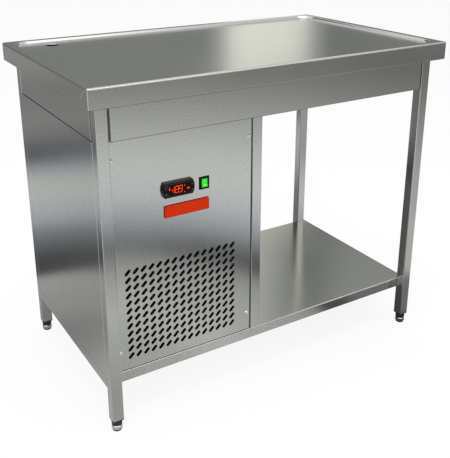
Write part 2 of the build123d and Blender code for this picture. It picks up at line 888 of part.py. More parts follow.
# Fan: shroud on the condenser, blades on a shaft in the motor, and the motor's bracket
fan_z = base_top + condenser_height / 2
fan_y = condenser_back + shroud_depth + fan_setback
motor_front = fan_y + fan_hub_length / 2 + fan_motor_gap
motor_rear = motor_front + motor_length
fan_plane = Plane((unit_x, fan_y, fan_z), x_dir=(1, 0, 0), z_dir=(0, 1, 0))
motor_plane = Plane((unit_x, motor_front, fan_z), x_dir=(1, 0, 0), z_dir=(0, 1, 0))
shroud_plane = Plane((unit_x, condenser_back, fan_z), x_dir=(1, 0, 0), z_dir=(0, 1, 0))
hub_back = fan_hub_length / 2
with BuildPart() as fan_shroud:
    with BuildSketch(shroud_plane):
        Rectangle(condenser_length, condenser_height)
    extrude(amount=shroud_depth)
    with BuildSketch(shroud_plane):
        Rectangle(condenser_length - 2 * shroud_sheet, condenser_height - 2 * shroud_sheet)
    extrude(amount=shroud_depth - shroud_sheet, mode=Mode.SUBTRACT)
    with BuildSketch(shroud_plane):
        Circle(fan_radius + fan_tip_gap)
    extrude(amount=shroud_depth, mode=Mode.SUBTRACT)
save(fan_shroud, "fan_shroud")

with BuildPart() as fan_blade:
    with BuildSketch(fan_plane):
        Circle(fan_hub_radius)
    extrude(amount=hub_back, both=True)
    for number in range(fan_blades):
        turn = number * 360 / fan_blades
        with BuildSketch(fan_plane.rotated((fan_pitch, 0, 0)).rotated((0, turn, 0))):
            Rectangle(fan_radius, fan_blade_width, align=(Align.MIN, Align.CENTER))
            Circle(fan_radius, mode=Mode.INTERSECT)
        extrude(amount=fan_blade_sheet / 2, both=True)
    with BuildSketch(fan_plane.offset(hub_back)):
        Circle(shaft_radius + shaft_fit)
    extrude(amount=-shaft_seat, mode=Mode.SUBTRACT)
save(fan_blade, "fan_blade")

with BuildPart() as fan_shaft:
    with BuildSketch(fan_plane.offset(hub_back - shaft_seat)):
        Circle(shaft_radius)
    extrude(amount=shaft_seat + fan_motor_gap + shaft_depth - shaft_end_gap)
save(fan_shaft, "fan_shaft")

with BuildPart() as fan_motor:
    with BuildSketch(motor_plane):
        Circle(motor_radius)
    extrude(amount=motor_length)
    chamfer(fan_motor.faces().sort_by(Axis.Y)[0].edges(), motor_edge)
    with BuildSketch(motor_plane):
        Circle(shaft_radius + shaft_clearance)
    extrude(amount=shaft_depth, mode=Mode.SUBTRACT)
save(fan_motor, "fan_motor")

bracket_plane = Plane(
    (unit_x - bracket_width / 2, motor_rear, base_top), x_dir=(0, 1, 0), z_dir=(1, 0, 0)
)
with BuildPart() as fan_bracket:
    bent_sheet(
        bracket_plane,
        [(0, condenser_height / 2 + bracket_lift), (0, 0), (bracket_foot, 0)],
        bracket_sheet + inner_bend,
        bracket_sheet,
        bracket_width,
    )
save(fan_bracket, "fan_bracket")

# Compressor: a welded shell on a foot plate, with stubs for its lines and a seat for its terminal box
discharge_plane = Plane((compressor_x, compressor_y, discharge_z), z_dir=(1, 0, 0))
suction_plane = Plane((compressor_x, compressor_y, suction_z), z_dir=(0, 1, 0))
terminal_plane = Plane(
    (compressor_x, compressor_y, shell_bottom + terminal_lift), x_dir=(0, 1, 0), z_dir=(-1, 0, 0)
)
with BuildPart() as compressor:
    with BuildSketch(Plane.XY.offset(shell_bottom)):
        with Locations((compressor_x, compressor_y)):
            Circle(compressor_radius)
    extrude(amount=compressor_height)
    fillet(compressor.faces().sort_by(Axis.Z)[-1].edges(), compressor_dome)
    with BuildSketch(Plane.XY.offset(shell_bottom + compressor_height / 2)):
        with Locations((compressor_x, compressor_y)):
            Circle(compressor_radius + weld_flange)
    extrude(amount=-weld_flange_height)
    with BuildSketch(Plane.XY.offset(mount_bottom)):
        with Locations((compressor_x, compressor_y)):
            RectangleRounded(mount_length, mount_depth, mount_corner)
    extrude(amount=mount_sheet)
    with BuildSketch(discharge_plane):
        Circle(discharge_radius)
    extrude(amount=stub_reach)
    with BuildSketch(suction_plane):
        Circle(suction_radius)
    extrude(amount=stub_reach)
    with BuildSketch(terminal_plane):
        Rectangle(terminal_depth, terminal_height)
    extrude(amount=compressor_radius + terminal_boss)
save(compressor, "compressor")

with BuildPart() as terminal_box:
    with BuildSketch(terminal_plane.offset(compressor_radius + terminal_boss)):
        RectangleRounded(terminal_depth, terminal_height, terminal_corner)
    extrude(amount=terminal_length)
save(terminal_box, "terminal_box")

with BuildPart() as grommets:
    with BuildSketch(Plane.XY.offset(base_top)):
        with Locations((compressor_x, compressor_y)):
            with GridLocations(grommet_spread_x, grommet_spread_y, 2, 2):
                Circle(grommet_radius)
    extrude(amount=grommet_height)
save(grommets, "compressor_grommets")

# Refrigerant lines, end to end with the stubs that they are brazed to
with BuildPart() as discharge_pipe:
    with BuildLine() as route:
        FilletPolyline(
            (compressor_x + stub_reach, compressor_y, discharge_z),
            (header_x, compressor_y, discharge_z),
            (header_x, condenser_back - header_back + stub_length, discharge_z),
            radius=line_bend,
        )
    with BuildSketch(Plane(route.line @ 0, z_dir=route.line % 0)):
        Circle(discharge_radius)
    sweep(path=route.line)
save(discharge_pipe, "discharge_pipe")

with BuildPart() as suction_pipe:
    with BuildLine() as route:
        FilletPolyline(
            (compressor_x, compressor_y + stub_reach, suction_z),
            (compressor_x, suction_y, suction_z),
            (compressor_x, suction_y, cover_bottom),
            radius=line_bend,
        )
    with BuildSketch(Plane(route.line @ 0, z_dir=route.line % 0)):
        Circle(suction_radius)
    sweep(path=route.line)
save(suction_pipe, "suction_pipe")

with BuildPart() as filter_drier:
    turned(
        header_x,
        liquid_y,
        [
            (0, riser_top),
            (liquid_radius, riser_top),
            (drier_radius, riser_top + drier_edge),
            (drier_radius, drier_top - drier_edge),
            (liquid_radius, drier_top),
            (0, drier_top),
        ],
    )
save(filter_drier, "filter_drier")

with BuildPart() as liquid_pipe:
    with BuildSketch(Plane.XY.offset(drier_top)):
        with Locations((header_x, liquid_y)):
            Circle(liquid_radius)
    extrude(amount=cover_bottom - drier_top)
save(liquid_pipe, "liquid_pipe")

# Cold body: coil under the worktop floor, insulation below it, and the cover that closes it
coil_end = bay_x - coil_margin
coil_pitch = (suction_y - liquid_y) / (coil_runs - 1)
probe_x = compartment_x + probe_shift
probe_y = (suction_y + liquid_y) / 2
with BuildPart() as coil:
    with BuildLine() as route:
        FilletPolyline(
            (header_x, liquid_y, floor_under),
            (coil_end, liquid_y, floor_under),
            (coil_end, liquid_y + coil_pitch, floor_under),
            (-coil_end, liquid_y + coil_pitch, floor_under),
            (-coil_end, suction_y - coil_pitch, floor_under),
            (coil_end, suction_y - coil_pitch, floor_under),
            (coil_end, suction_y, floor_under),
            (compressor_x, suction_y, floor_under),
            radius=coil_bend_share * coil_pitch,
        )
    with BuildSketch(Plane(route.line @ 0, x_dir=(0, 1, 0), z_dir=(1, 0, 0))):
        with BuildLine():
            Line((-coil_radius, 0), (coil_radius, 0))
            ThreePointArc((coil_radius, 0), (0, -coil_radius), (-coil_radius, 0))
        make_face()
    sweep(path=route.line)
    with BuildSketch(Plane.XY.offset(cover_bottom)):
        with Locations((header_x, liquid_y)):
            Circle(liquid_radius)
        with Locations((compressor_x, suction_y)):
            Circle(suction_radius)
    extrude(amount=floor_under - cover_bottom)
save(coil, "evaporator_coil")


def body_plan(height):
    """The plan of the cold body between the aprons, notched round the legs."""
    with BuildSketch(Plane.XY.offset(height)) as plan:
        Rectangle(
            2 * (frame_x - apron_sheet - foam_clearance),
            2 * (bay_y - shadow_gap - apron_sheet - foam_clearance),
        )
        Rectangle(
            2 * (bay_x - shadow_gap - apron_sheet - foam_clearance),
            2 * (frame_y - apron_sheet - foam_clearance),
        )
    return plan.sketch


def line_bores(bottom, top):
    """Cuts the ways of the two refrigerant lines."""
    bore(header_x, liquid_y, liquid_radius + bore_clearance, bottom, top)
    bore(compressor_x, suction_y, suction_radius + bore_clearance, bottom, top)


with BuildPart() as body_cover:
    extrude(body_plan(cover_bottom), amount=cover_sheet)
    line_bores(cover_bottom, foam_bottom)
    bore(drain_x, outlet_y, drain_pipe_radius + bore_clearance, cover_bottom, foam_bottom)
save(body_cover, "body_bottom_cover")

with BuildPart() as insulation:
    extrude(body_plan(foam_bottom), amount=foam_top - foam_bottom)
    line_bores(foam_bottom, foam_top)
    cup_room = drain_radius + drain_wall + bore_clearance
    with BuildSketch(Plane.XY.offset(foam_bottom)):
        with Locations((drain_x, drain_y - cup_room)):
            Rectangle(2 * cup_room, top_depth / 2, align=(Align.CENTER, Align.MIN))
    extrude(amount=foam_top - foam_bottom, mode=Mode.SUBTRACT)
    bore(probe_x, probe_y, probe_radius + bore_clearance, floor_under - probe_length, foam_top)
save(insulation, "insulation")

with BuildPart() as probe:
    with BuildSketch(Plane.XY.offset(floor_under)):
        with Locations((probe_x, probe_y)):
            Circle(probe_radius)
    extrude(amount=-probe_length)
save(probe, "temperature_probe")

# Drain: a cup under the hole in the worktop, and the pipe down through the shelf
pipe_bore = drain_pipe_radius - drain_pipe_wall
socket_bore = drain_pipe_radius + drain_fit
with BuildPart() as drain_cup:
    for centre_y, radius, bottom, top in (
        (drain_y, drain_flange, floor_under - drain_wall, floor_under),
        (drain_y, drain_radius + drain_wall, drain_cup_bottom, floor_under),
        (outlet_y, socket_bore + drain_wall, drain_socket_bottom, drain_cup_bottom),
    ):
        with BuildSketch(Plane.XY.offset(bottom)):
            with Locations((drain_x, centre_y)):
                Circle(radius)
        extrude(amount=top - bottom)
    bore(drain_x, drain_y, drain_radius, drain_cup_bottom + drain_wall, floor_under)
    bore(drain_x, outlet_y, pipe_bore, drain_cup_bottom, drain_cup_bottom + drain_wall)
    bore(drain_x, outlet_y, socket_bore, drain_socket_bottom, drain_cup_bottom)
save(drain_cup, "drain_cup")

with BuildPart() as drain_pipe:
    for radius, bottom, top in (
        (drain_tail_radius, drain_tail_bottom, shelf_bottom),
        (drain_pipe_radius, shelf_bottom, drain_cup_bottom),
    ):
        with BuildSketch(Plane.XY.offset(bottom)):
            with Locations((drain_x, outlet_y)):
                Circle(radius)
        extrude(amount=top - bottom)
    bore(drain_x, outlet_y, pipe_bore, drain_tail_bottom, drain_cup_bottom)
save(drain_pipe, "drain_pipe")
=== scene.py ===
import math

import bmesh
import bpy
from mathutils import Matrix, Vector
from mathutils.bvhtree import BVHTree


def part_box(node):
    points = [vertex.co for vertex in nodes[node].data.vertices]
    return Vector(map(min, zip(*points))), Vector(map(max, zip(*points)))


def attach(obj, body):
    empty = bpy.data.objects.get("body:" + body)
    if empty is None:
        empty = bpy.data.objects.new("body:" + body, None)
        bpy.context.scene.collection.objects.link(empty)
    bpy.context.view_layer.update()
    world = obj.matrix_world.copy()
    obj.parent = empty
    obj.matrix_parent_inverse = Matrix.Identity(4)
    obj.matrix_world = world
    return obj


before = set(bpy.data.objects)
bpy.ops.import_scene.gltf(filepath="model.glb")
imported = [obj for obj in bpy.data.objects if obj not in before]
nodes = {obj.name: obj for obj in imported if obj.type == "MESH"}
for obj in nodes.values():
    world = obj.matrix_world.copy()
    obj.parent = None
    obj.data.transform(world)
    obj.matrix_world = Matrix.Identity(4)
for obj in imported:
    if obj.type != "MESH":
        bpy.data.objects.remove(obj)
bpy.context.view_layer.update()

scene = bpy.context.scene
scene.view_settings.view_transform = "Standard"

# Camera: the photograph's eye point and direction
IMAGE_WIDTH = 450
IMAGE_HEIGHT = 458
FOCAL_PIXELS = 727.0
CENTRE_ROW = 161.5
AZIMUTH = math.radians(-31.48)
ELEVATION = math.radians(19.45)
EYE = Vector((-0.9912, -1.6188, 1.1886))
SENSOR_WIDTH = 36.0
CLIP_START = 0.05
CLIP_END = 100.0

camera = bpy.data.objects.new("camera", bpy.data.cameras.new("camera"))
scene.collection.objects.link(camera)
scene.camera = camera
camera.data.sensor_fit = "HORIZONTAL"
camera.data.sensor_width = SENSOR_WIDTH
camera.data.lens = FOCAL_PIXELS / IMAGE_WIDTH * SENSOR_WIDTH
camera.data.shift_y = (CENTRE_ROW - IMAGE_HEIGHT / 2) / IMAGE_WIDTH
camera.data.clip_start = CLIP_START
camera.data.clip_end = CLIP_END
backward = Vector(
    (
        math.sin(AZIMUTH) * math.cos(ELEVATION),
        -math.cos(AZIMUTH) * math.cos(ELEVATION),
        math.sin(ELEVATION),
    )
)
rightward = Vector((math.cos(AZIMUTH), math.sin(AZIMUTH), 0.0))
upward = backward.cross(rightward)
axes = Matrix((rightward, upward, backward)).transposed()
camera.matrix_world = Matrix.Translation(EYE) @ axes.to_4x4()


# Nodes: the levels between which a noise mostly runs, and the weight of its finer parts
NOISE_LOW = 0.3
NOISE_HIGH = 0.7
NOISE_ROUGHNESS = 0.6


def grey(level):
    """A colour without a tint."""
    return (level, level, level)


def opaque(colour):
    """A colour with an alpha of one."""
    return (*colour, 1.0)


class Graph:
    """The nodes of a material or a world, with short ways to add and join them."""

    def __init__(self, owner, empty=False):
        owner.use_nodes = True
        self.tree = owner.node_tree
        if empty:
            self.tree.nodes.clear()

    def link(self, source, socket):
        """Joins an output to a socket."""
        self.tree.links.new(source, socket)

    def add(self, kind, sockets=None, **settings):
        """A new node with its settings, where each socket named has a number or follows an output."""
        node = self.tree.nodes.new(kind)
        for name, value in settings.items():
            setattr(node, name, value)
        for name, value in (sockets or {}).items():
            if isinstance(value, bpy.types.NodeSocket):
                self.link(value, node.inputs[name])
            else:
                node.inputs[name].default_value = value
        return node

    def position(self):
        """A point's place in the object's own space."""
        return self.add("ShaderNodeTexCoord").outputs["Object"]

    def parts(self, vector):
        """The outputs X, Y and Z of a vector."""
        return self.add("ShaderNodeSeparateXYZ", {"Vector": vector}).outputs

    def noise(self, scale, detail, stretch=(1.0, 1.0, 1.0)):
        """Noise in object space, drawn out along an axis by a small stretch factor."""
        mapping = self.add("ShaderNodeMapping", {"Vector": self.position(), "Scale": stretch})
        sockets = {
            "Vector": mapping.outputs["Vector"],
            "Scale": scale,
            "Detail": detail,
            "Roughness": NOISE_ROUGHNESS,
        }
        return self.add("ShaderNodeTexNoise", sockets).outputs["Fac"]

    def spread(self, source, low, high, start=NOISE_LOW, end=NOISE_HIGH):
        """A value that runs from low to high as a source goes from start to end."""
        sockets = {"Value": source, "From Min": start, "From Max": end, "To Min": low, "To Max": high}
        return self.add("ShaderNodeMapRange", sockets).outputs["Result"]

    def colour_between(self, source, low, high, start=NOISE_LOW, end=NOISE_HIGH):
        """A colour that runs from low to high as a source goes from start to end."""
        ramp = self.add("ShaderNodeValToRGB", {"Fac": source})
        for element, place, colour in zip(ramp.color_ramp.elements, (start, end), (low, high)):
            element.position = place
            element.color = opaque(colour)
        return ramp.outputs["Color"]

    def levels(self, stops, source, low, high):
        """Greys along a source that runs from low to high, eased from stop to stop."""
        ramp = self.add("ShaderNodeValToRGB", {"Fac": self.spread(source, 0.0, 1.0, low, high)})
        ramp.color_ramp.interpolation = "EASE"
        elements = ramp.color_ramp.elements
        while len(elements) < len(stops):
            elements.new(0.5)
        for element, (place, level) in zip(elements, stops):
            element.position = (place - low) / (high - low)
            element.color = opaque(grey(level))
        return ramp.outputs["Color"]

    def combine(self, operation, first, second):
        """Two sources or numbers in one Math node."""
        return self.add("ShaderNodeMath", {0: first, 1: second}, operation=operation).outputs["Value"]

    def near_line(self, source, place, reach):
        """One where a source is at a place, falling to zero at a reach to either side."""
        shift = self.combine("SUBTRACT", source, place)
        away = self.add("ShaderNodeMath", {0: shift}, operation="ABSOLUTE")
        return self.spread(away.outputs["Value"], 1.0, 0.0, 0.0, reach)

    def mixed(self, mask, below, above):
        """One colour over another by a mask."""
        sockets = {"Factor": mask, "A": below, "B": above}
        return self.add("ShaderNodeMix", sockets, data_type="RGBA").outputs["Result"]

    def bump(self, shader, height, strength, distance):
        """Relief on a shader from a height, on top of any relief that it has."""
        sockets = {"Strength": strength, "Distance": distance, "Height": height}
        node = self.add("ShaderNodeBump", sockets)
        for link in shader.inputs["Normal"].links:
            self.link(link.from_socket, node.inputs["Normal"])
        self.link(node.outputs["Normal"], shader.inputs["Normal"])

    def surface(self, kind, mask, first, second):
        """Ends the graph in an output whose surface is one shader over another by a mask."""
        blend = self.add("ShaderNodeMixShader", {"Fac": mask, 1: first, 2: second})
        self.add(kind, {"Surface": blend.outputs["Shader"]})


# Materials
def new_material(name):
    """A node material with its graph and its shader."""
    material = bpy.data.materials.new(name)
    graph = Graph(material)
    return material, graph, graph.tree.nodes["Principled BSDF"]


# How near to a line's middle its shade is full, where one is the middle and zero is its reach
LINE_FULL = 0.6


def with_painted_shade(graph, colour, lines, shade_colour):
    """A colour with lines of painted shade, each an axis, a place on it, a reach and a depth of shade."""
    if not lines:
        return colour
    parts = graph.parts(graph.position())
    for axis, place, reach, shade in lines:
        mask = graph.near_line(parts[axis], place, reach)
        depth = graph.spread(mask, 0.0, shade, 0.0, LINE_FULL)
        colour = graph.mixed(depth, colour, opaque(shade_colour))
    return colour


# The worktop's corner weld: where its slant ends, how far that runs and drops, the bead's half width,
# the skirt's end from which it shows, and its fade
WELD_END_Y = 0.262
WELD_END_Z = 0.824
WELD_RUN = 0.027
WELD_DROP = 0.023
WELD_REACH = 0.002
WELD_SIDE = 0.4985
WELD_FADE = 0.0005


def weld_mask(graph):
    """One along the welded seams of the skirt's ends, which slant down from the corner and then drop."""
    folded = graph.add("ShaderNodeVectorMath", {0: graph.position()}, operation="ABSOLUTE").outputs["Vector"]
    slant = math.hypot(WELD_RUN, WELD_DROP)
    normal = Vector((0.0, WELD_DROP / slant, -WELD_RUN / slant))
    across = graph.add("ShaderNodeVectorMath", {0: folded, 1: normal}, operation="DOT_PRODUCT")
    level = normal.y * WELD_END_Y + normal.z * WELD_END_Z
    run = graph.near_line(across.outputs["Value"], level, WELD_REACH)
    parts = graph.parts(folded)
    drop = graph.near_line(parts["Y"], WELD_END_Y, WELD_REACH)
    change = (WELD_END_Z - WELD_FADE, WELD_END_Z + WELD_FADE)
    upper = graph.combine("MULTIPLY", run, graph.spread(parts["Z"], 0.0, 1.0, *change))
    lower = graph.combine("MULTIPLY", drop, graph.spread(parts["Z"], 1.0, 0.0, *change))
    seam = graph.combine("MAXIMUM", upper, lower)
    side = graph.spread(parts["X"], 0.0, 1.0, WELD_SIDE, WELD_SIDE + WELD_FADE)
    return graph.combine("MULTIPLY", seam, side)


# Stainless steel. A speckle is its scale and the two levels of noise between which its colour runs
STEEL_LOW = (0.513, 0.522, 0.5)
STEEL_HIGH = (0.681, 0.692, 0.664)
# Colour of the shade painted into the steel along hems and gaps
PAINTED_GAP_SHADE = (0.1, 0.1, 0.098)
WELD = (0.9, 0.9, 0.88)
WELD_ROUGH = 0.25
FINE_SPECKLE = (320.0, 0.3, 0.7)
COARSE_SPECKLE = (270.0, 0.38, 0.62)
SPECKLE_STRENGTH = 0.05
SPECKLE_HEIGHT = 0.0002
STEEL_DETAIL = 3.0
GRAIN_SCALE = 500.0
GRAIN_ROUGH = (0.17, 0.19)
GRAIN_X = (0.012, 1.0, 1.0)
GRAIN_Z = (1.0, 1.0, 0.012)
CLOUD_SCALE = 5.0
CLOUD_ROUGH = (-0.01, 0.012)


def brushed(name, stretch, lines=(), weld=False, speckled=FINE_SPECKLE):
    """Satin stainless steel: a fine speckle over a faint grain along the axis of the smallest stretch, under
    any lines of painted shade.
    """
    material, graph, shader = new_material(name)
    shader.inputs["Metallic"].default_value = 1.0
    scale, start, end = speckled
    speckle = graph.noise(scale, STEEL_DETAIL)
    grain = graph.noise(GRAIN_SCALE, STEEL_DETAIL, stretch)
    cloud = graph.noise(CLOUD_SCALE, STEEL_DETAIL)
    colour = graph.colour_between(speckle, STEEL_LOW, STEEL_HIGH, start, end)
    colour = with_painted_shade(graph, colour, lines, PAINTED_GAP_SHADE)
    roughness = graph.combine("ADD", graph.spread(grain, *GRAIN_ROUGH), graph.spread(cloud, *CLOUD_ROUGH))
    if weld:
        mask = weld_mask(graph)
        colour = graph.mixed(mask, colour, opaque(WELD))
        roughness = graph.combine("ADD", roughness, graph.spread(mask, 0.0, WELD_ROUGH, 0.0, 1.0))
    graph.link(colour, shader.inputs["Base Color"])
    graph.link(roughness, shader.inputs["Roughness"])
    graph.bump(shader, speckle, SPECKLE_STRENGTH, SPECKLE_HEIGHT)
    return material


def crown_height(graph, middle, reach):
    """A height across Z that is one at the middle and falls away as a square, by one at a reach."""
    height = graph.parts(graph.position())["Z"]
    across = graph.spread(height, -1.0, 1.0, middle - reach, middle + reach)
    square = graph.combine("MULTIPLY", across, across)
    return graph.spread(square, 1.0, 0.0, 0.0, 1.0)


# Paint, plastic and coated metal
# Colour of the shade painted along the edges of a piece
PAINTED_EDGE_SHADE = (0.012, 0.006, 0.004)
PAINT_DETAIL = 4.0
PAINT_HEIGHT = 0.0003
PATCHY_SCALE = 30.0
PATCHY_DETAIL = 3.0


def painted(name, low, high, rough, scale, relief, metallic=0.0, gloss=0.5, lines=(), crown=None):
    """Paint, plastic or coated metal with a fine grain, a slightly uneven colour and any lines of painted
    shade.

    The grain has a scale and a strength of relief. A crown is the middle and the half height of a face that
    bulges, and how far it bulges.
    """
    material, graph, shader = new_material(name)
    shader.inputs["Metallic"].default_value = metallic
    shader.inputs["Specular IOR Level"].default_value = gloss
    fine = graph.noise(scale, PAINT_DETAIL)
    cloud = graph.noise(PATCHY_SCALE, PATCHY_DETAIL)
    colour = with_painted_shade(graph, graph.colour_between(cloud, low, high), lines, PAINTED_EDGE_SHADE)
    graph.link(colour, shader.inputs["Base Color"])
    graph.link(graph.spread(fine, *rough), shader.inputs["Roughness"])
    if crown:
        middle, reach, bulge = crown
        graph.bump(shader, crown_height(graph, middle, reach), 1.0, bulge)
    graph.bump(shader, fine, relief, PAINT_HEIGHT)
    return material


# Lit pieces
GLOW_SCALE = 60.0
GLOW_DETAIL = 2.0
GLOW_DIM = 0.75
GLOW_ROUGH = 0.25


def glowing(name, colour, strength, gloss=0.2):
    """A lit piece: its own colour with a glow that is slightly uneven."""
    material, graph, shader = new_material(name)
    cloud = graph.noise(GLOW_SCALE, GLOW_DETAIL)
    dim = tuple(GLOW_DIM * part for part in colour)
    shade = graph.colour_between(cloud, dim, colour)
    graph.link(shade, shader.inputs["Base Color"])
    graph.link(shade, shader.inputs["Emission Color"])
    shader.inputs["Emission Strength"].default_value = strength
    shader.inputs["Specular IOR Level"].default_value = gloss
    shader.inputs["Roughness"].default_value = GLOW_ROUGH
    return material


# Lines of painted shade on the steel, along hems and at the gaps beside legs, posts and panels: where they
# lie, how far they reach and how deep their shade is
SHADOW_GAP = 0.004
POST_WIDTH = 0.027
HEM = 0.0026
HEM_SHADE = 0.75
EDGE = 0.0013
PANEL_SHADE = 0.1
POST_SHADE = 0.3
APRON_SHADE = 0.5
END_SHADE = 0.25
top_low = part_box("worktop")[0]
apron_low, apron_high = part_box("front_apron")
side_low, side_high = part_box("left_apron")
panel_low, panel_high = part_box("service_panel")
left_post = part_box("left_side_panel")[0].x + POST_WIDTH
right_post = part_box("inner_side_panel")[1].x - POST_WIDTH
top_lines = [("Z", top_low.z, HEM, HEM_SHADE)]
apron_lines = [
    ("Z", apron_low.z, HEM, HEM_SHADE),
    ("X", apron_low.x + SHADOW_GAP, EDGE, APRON_SHADE),
    ("X", apron_high.x - SHADOW_GAP, EDGE, APRON_SHADE),
]
end_lines = [
    ("Z", apron_low.z, HEM, HEM_SHADE),
    ("Y", side_low.y + SHADOW_GAP, EDGE, END_SHADE),
    ("Y", side_high.y - SHADOW_GAP, EDGE, END_SHADE),
]
panel_lines = [
    ("X", panel_low.x, EDGE, POST_SHADE),
    ("X", panel_high.x, EDGE, PANEL_SHADE),
    ("Z", panel_low.z, EDGE, PANEL_SHADE),
]
side_lines = [("X", left_post, EDGE, POST_SHADE), ("X", right_post, EDGE, PANEL_SHADE)]
steel_top = brushed("steel_worktop", GRAIN_X, top_lines, weld=True)
steel_apron = brushed("steel_long_apron", GRAIN_X, apron_lines)
steel_end = brushed("steel_end_apron", GRAIN_X, end_lines)
steel_panel = brushed("steel_panel", GRAIN_Z, panel_lines)
steel_side = brushed("steel_side", GRAIN_Z, side_lines)
steel_long = brushed("steel_grain_along", GRAIN_X, speckled=COARSE_SPECKLE)
steel_up = brushed("steel_grain_upright", GRAIN_Z)

# The bezel's bulge, and lines of painted shade along the plate's edges, deepest at its left and top
BEZEL_BULGE = 0.008
PLATE_EDGE = 0.0009
bezel_low, bezel_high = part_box("controller_bezel")
bezel_crown = ((bezel_low.z + bezel_high.z) / 2, (bezel_high.z - bezel_low.z) / 2, BEZEL_BULGE)
plate_low, plate_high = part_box("front_plate")
plate_shade_lines = [
    ("X", plate_low.x, PLATE_EDGE, 1.0),
    ("X", plate_high.x, PLATE_EDGE, 0.6),
    ("Z", plate_high.z, PLATE_EDGE, 1.0),
    ("Z", plate_low.z, PLATE_EDGE, 0.5),
]

# Dim and bright colour, range of roughness, scale of the grain and strength of its relief
zinc = painted("zinc_plate", (0.42, 0.43, 0.44), (0.6, 0.61, 0.62), (0.35, 0.5), 120.0, 0.05, metallic=1.0)
chrome = painted("foot_chrome", (0.72, 0.72, 0.73), grey(0.8), (0.1, 0.16), 500.0, 0.01, metallic=1.0)
bright_zinc = painted("screw_zinc", grey(0.9), (0.96, 0.96, 0.95), (0.22, 0.3), 500.0, 0.01, metallic=1.0)
aluminium = painted(
    "fan_aluminium", (0.6, 0.6, 0.62), (0.72, 0.72, 0.74), (0.3, 0.42), 300.0, 0.04, metallic=1.0
)
copper = painted(
    "copper_tube", (0.62, 0.3, 0.18), (0.74, 0.4, 0.26), (0.22, 0.36), 200.0, 0.03, metallic=1.0
)
fins = painted("black_fins", grey(0.006), grey(0.012), (0.6, 0.75), 300.0, 0.05)
black_paint = painted("black_paint", grey(0.012), grey(0.022), (0.3, 0.42), 400.0, 0.08)
black_plastic = painted(
    "black_plastic", (0.014, 0.014, 0.015), (0.022, 0.022, 0.023), (0.38, 0.5), 900.0, 0.1
)
grey_plastic = painted("grey_plastic", grey(0.36), grey(0.44), (0.45, 0.6), 500.0, 0.08)
key_plastic = painted(
    "key_plastic", (0.01, 0.01, 0.011), (0.016, 0.016, 0.017), (0.4, 0.5), 900.0, 0.08, gloss=0.2
)
bezel_plastic = painted(
    "bezel_plastic", grey(0.001), grey(0.002), (0.16, 0.22), 800.0, 0.02, gloss=0.2, crown=bezel_crown
)
window_plastic = painted(
    "window_plastic", (0.002, 0.001, 0.001), (0.003, 0.002, 0.002), (0.05, 0.08), 200.0, 0.0, gloss=0.1
)
switch_plastic = painted("switch_plastic", grey(0.002), grey(0.004), (0.25, 0.35), 900.0, 0.05, gloss=0.15)
rubber = painted("black_rubber", grey(0.012), grey(0.02), (0.6, 0.75), 600.0, 0.15)
foam = painted("foam", (0.75, 0.66, 0.42), (0.85, 0.78, 0.55), (0.8, 0.9), 250.0, 0.4)
orange = painted(
    "plate_orange",
    (0.7, 0.03, 0.001),
    (0.76, 0.036, 0.002),
    (0.35, 0.45),
    700.0,
    0.04,
    gloss=0.05,
    lines=plate_shade_lines,
)
mark_paint = painted("mark_paint", grey(0.2), grey(0.26), (0.4, 0.5), 900.0, 0.02, gloss=0.2)
pale_mark = painted("pale_mark", (0.7, 0.75, 0.7), (0.8, 0.84, 0.8), (0.4, 0.5), 700.0, 0.02, gloss=0.2)
green = glowing("rocker_green", (0.02, 0.72, 0.03), 0.55)
red = glowing("display_red", (1.0, 0.045, 0.002), 1.1, gloss=0.0)

CORNERS = ("front_left", "front_right", "rear_left", "rear_right")
dressed = {
    steel_top: ["worktop"],
    steel_apron: ["front_apron", "rear_apron"],
    steel_end: ["left_apron", "right_apron"],
    steel_panel: ["service_panel", "rear_panel"],
    steel_side: ["left_side_panel", "inner_side_panel"],
    steel_long: ["shelf", "shelf_stiffener", "body_bottom_cover", "drain_cup", "temperature_probe"],
    steel_up: [f"leg_{corner}" for corner in CORNERS],
    zinc: ["unit_base", "fan_bracket"],
    chrome: ["fan_shaft"] + [f"foot_{corner}" for corner in CORNERS],
    bright_zinc: ["panel_screws"],
    aluminium: ["fan_blade"],
    fins: ["condenser"],
    copper: ["evaporator_coil", "filter_drier", "discharge_pipe", "liquid_pipe", "suction_pipe"],
    black_paint: ["compressor", "fan_shroud", "fan_motor"],
    black_plastic: ["cable_gland", "controller_case", "terminal_box"]
    + [f"leg_plug_{corner}" for corner in CORNERS],
    grey_plastic: ["drain_pipe"],
    key_plastic: ["key_up", "key_down", "key_set", "key_standby"],
    bezel_plastic: ["controller_bezel"],
    switch_plastic: ["switch_frame"],
    window_plastic: ["display_window"],
    rubber: ["compressor_grommets"] + [f"foot_pad_{corner}" for corner in CORNERS],
    foam: ["insulation"],
    orange: ["front_plate"],
    green: ["switch_rocker"],
}
for material, names in dressed.items():
    for name in names:
        node_materials = nodes[name].data.materials
        node_materials.clear()
        node_materials.append(material)


# Meshes
def finished(build, name, material):
    """The object of a bmesh, in the scene and with its material."""
    mesh = bpy.data.meshes.new(name)
    build.to_mesh(mesh)
    build.free()
    mesh.materials.append(material)
    piece = bpy.data.objects.new(name, mesh)
    scene.collection.objects.link(piece)
    return piece


def revolved(profile, sides, centre=(0.0, 0.0, 0.0), closed=False):
    """A bmesh of a profile of radius and height, turned round an upright line through a centre."""
    build = bmesh.new()
    turns = [2 * math.pi * k / sides for k in range(sides)]
    hoops = []
    for radius, height in profile:
        spokes = [Vector((radius * math.cos(turn), radius * math.sin(turn), height)) for turn in turns]
        hoops.append([build.verts.new(spoke + Vector(centre)) for spoke in spokes])
    if closed:
        hoops.append(hoops[0])
    for first, second in zip(hoops, hoops[1:]):
        for k in range(sides):
            after = (k + 1) % sides
            build.faces.new((first[k], first[after], second[after], second[k]))
    return build


